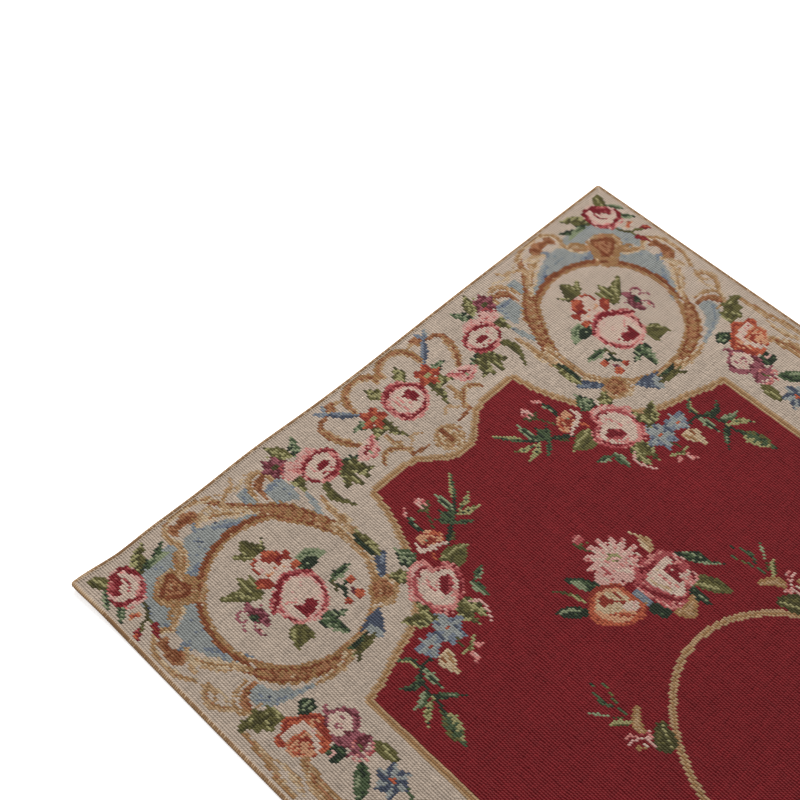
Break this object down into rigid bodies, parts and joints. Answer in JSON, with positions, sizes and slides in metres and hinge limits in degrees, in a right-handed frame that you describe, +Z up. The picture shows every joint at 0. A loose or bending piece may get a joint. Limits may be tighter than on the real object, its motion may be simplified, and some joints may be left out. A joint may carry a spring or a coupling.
{
  "type": "needlepoint rug",
  "caption": "Flat rectangular needlepoint floor rug in tent stitch, with a floral medallion border round a plain field and an overcast wool rim.",
  "frame": {"origin": "on the floor under the rug's middle", "axes": "+X along the short sides, +Y along the long sides, +Z up out of the face"},
  "size_m": [0.92, 1.5278, 0.0102],
  "materials": {
    "stitched_wool": "matte wool tent stitch, wine red field",
    "ground_wool": "matte wool tent stitch, beige ground",
    "motif_wool": "matte wool tent stitch, flowers, leaves and scrolls",
    "canvas": "cotton canvas with the back of the stitches",
    "rim_wool": "matte overcast wool, golden brown"
  },
  "bodies": {
    "root": {"needlepoint_cloth": "stitched_wool", "rim_far_short": "rim_wool", "rim_near_short": "rim_wool", "rim_left_long": "rim_wool", "rim_right_long": "rim_wool"}
  },
  "joints": []
}
